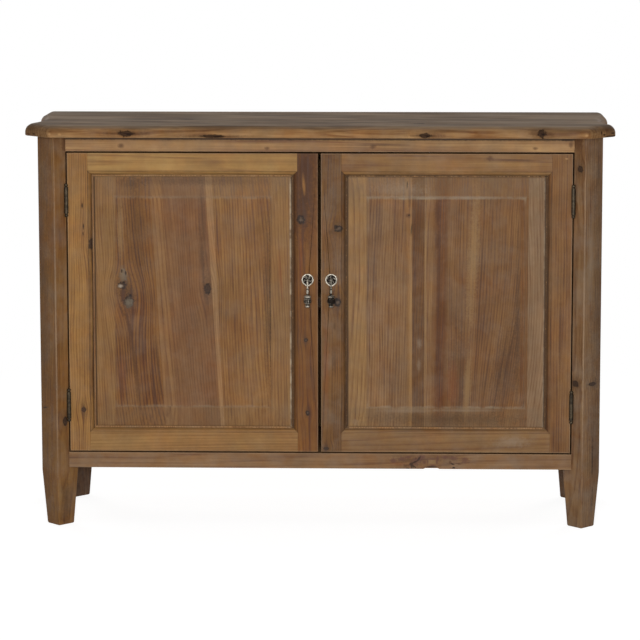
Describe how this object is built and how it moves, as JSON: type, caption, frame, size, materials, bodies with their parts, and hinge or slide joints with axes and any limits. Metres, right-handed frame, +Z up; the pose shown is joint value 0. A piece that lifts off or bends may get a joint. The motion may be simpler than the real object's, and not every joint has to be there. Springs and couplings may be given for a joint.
{
  "type": "jelly cupboard",
  "caption": "Low wide pine cupboard with canted posts on tapered feet, an eared and scooped top, framed panel doors on butt hinges and drop pulls.",
  "frame": {"origin": "on the floor under the middle of the cupboard's outer box", "axes": "+X to the right seen from the front, +Y to the back, +Z up; the doors face -Y"},
  "size_m": [1.21, 0.406, 0.838],
  "materials": {
    "top_pine": "weathered grey-brown wax over quarter-round reclaimed pine",
    "carcase_pine": "weathered brown wax, knots and cracks",
    "door_pine": "weathered brown wax, moulded sticking",
    "panel_pine": "glued staves, brown wax with pale residue round the field",
    "inside_pine": "plain waxed pine",
    "hinge_iron": "blackened iron",
    "pull_pewter": "antiqued pewter, dark in the hollows",
    "screw_steel": "plain zinc steel",
    "catch_plastic": "matte brown plastic"
  },
  "bodies": {
    "carcase": {"top_board": "top_pine", "front_left_post": "carcase_pine", "front_right_post": "carcase_pine", "back_left_post": "carcase_pine", "back_right_post": "carcase_pine", "front_top_rail": "carcase_pine", "front_bottom_rail": "carcase_pine", "back_top_rail": "carcase_pine", "back_bottom_rail": "carcase_pine", "back_boards": "inside_pine", "bottom_board": "inside_pine", "bottom_cleats": "inside_pine", "shelf": "inside_pine", "top_fixing_blocks": "inside_pine", "top_fixing_screws": "screw_steel", "post_hinge_screws": "hinge_iron", "magnetic_catches": "catch_plastic", "left_side_top_rail": "carcase_pine", "left_side_bottom_rail": "carcase_pine", "left_side_panel": "carcase_pine", "left_shelf_cleat": "inside_pine", "left_upper_hinge_post_leaf": "hinge_iron", "left_lower_hinge_post_leaf": "hinge_iron", "left_upper_hinge_pin": "hinge_iron", "left_lower_hinge_pin": "hinge_iron", "right_side_top_rail": "carcase_pine", "right_side_bottom_rail": "carcase_pine", "right_side_panel": "carcase_pine", "right_shelf_cleat": "inside_pine", "right_upper_hinge_post_leaf": "hinge_iron", "right_lower_hinge_post_leaf": "hinge_iron", "right_upper_hinge_pin": "hinge_iron", "right_lower_hinge_pin": "hinge_iron"},
    "left_door": {"left_door_hinge_stile": "door_pine", "left_door_meeting_stile": "door_pine", "left_door_top_rail": "door_pine", "left_door_bottom_rail": "door_pine", "left_door_panel": "panel_pine", "left_upper_hinge_door_leaf": "hinge_iron", "left_lower_hinge_door_leaf": "hinge_iron", "left_door_hinge_screws": "hinge_iron", "left_pull_rosette": "pull_pewter", "left_pull_stud": "pull_pewter", "left_pull_nut": "screw_steel", "left_strike_plate": "screw_steel"},
    "left_drop": {"left_pull_drop": "pull_pewter"},
    "right_door": {"right_door_hinge_stile": "door_pine", "right_door_meeting_stile": "door_pine", "right_door_top_rail": "door_pine", "right_door_bottom_rail": "door_pine", "right_door_panel": "panel_pine", "right_upper_hinge_door_leaf": "hinge_iron", "right_lower_hinge_door_leaf": "hinge_iron", "right_door_hinge_screws": "hinge_iron", "right_pull_rosette": "pull_pewter", "right_pull_stud": "pull_pewter", "right_pull_nut": "screw_steel", "right_strike_plate": "screw_steel"},
    "right_drop": {"right_pull_drop": "pull_pewter"}
  },
  "joints": [
    {"name": "left_door_hinge", "type": "hinge", "parent": "carcase", "child": "left_door", "pos_m": [-0.52002, -0.15792, 0.468], "axis": [0, 0, -1], "range_deg": [0, 150]},
    {"name": "left_drop_swing", "type": "hinge", "parent": "left_door", "child": "left_drop", "pos_m": [-0.0243, -0.1629, 0.5178], "axis": [-1, 0, 0], "range_deg": [0, 85]},
    {"name": "right_door_hinge", "type": "hinge", "parent": "carcase", "child": "right_door", "pos_m": [0.52002, -0.15792, 0.468], "axis": [0, 0, 1], "range_deg": [0, 150]},
    {"name": "right_drop_swing", "type": "hinge", "parent": "right_door", "child": "right_drop", "pos_m": [0.0243, -0.1629, 0.5178], "axis": [-1, 0, 0], "range_deg": [0, 85]}
  ]
}
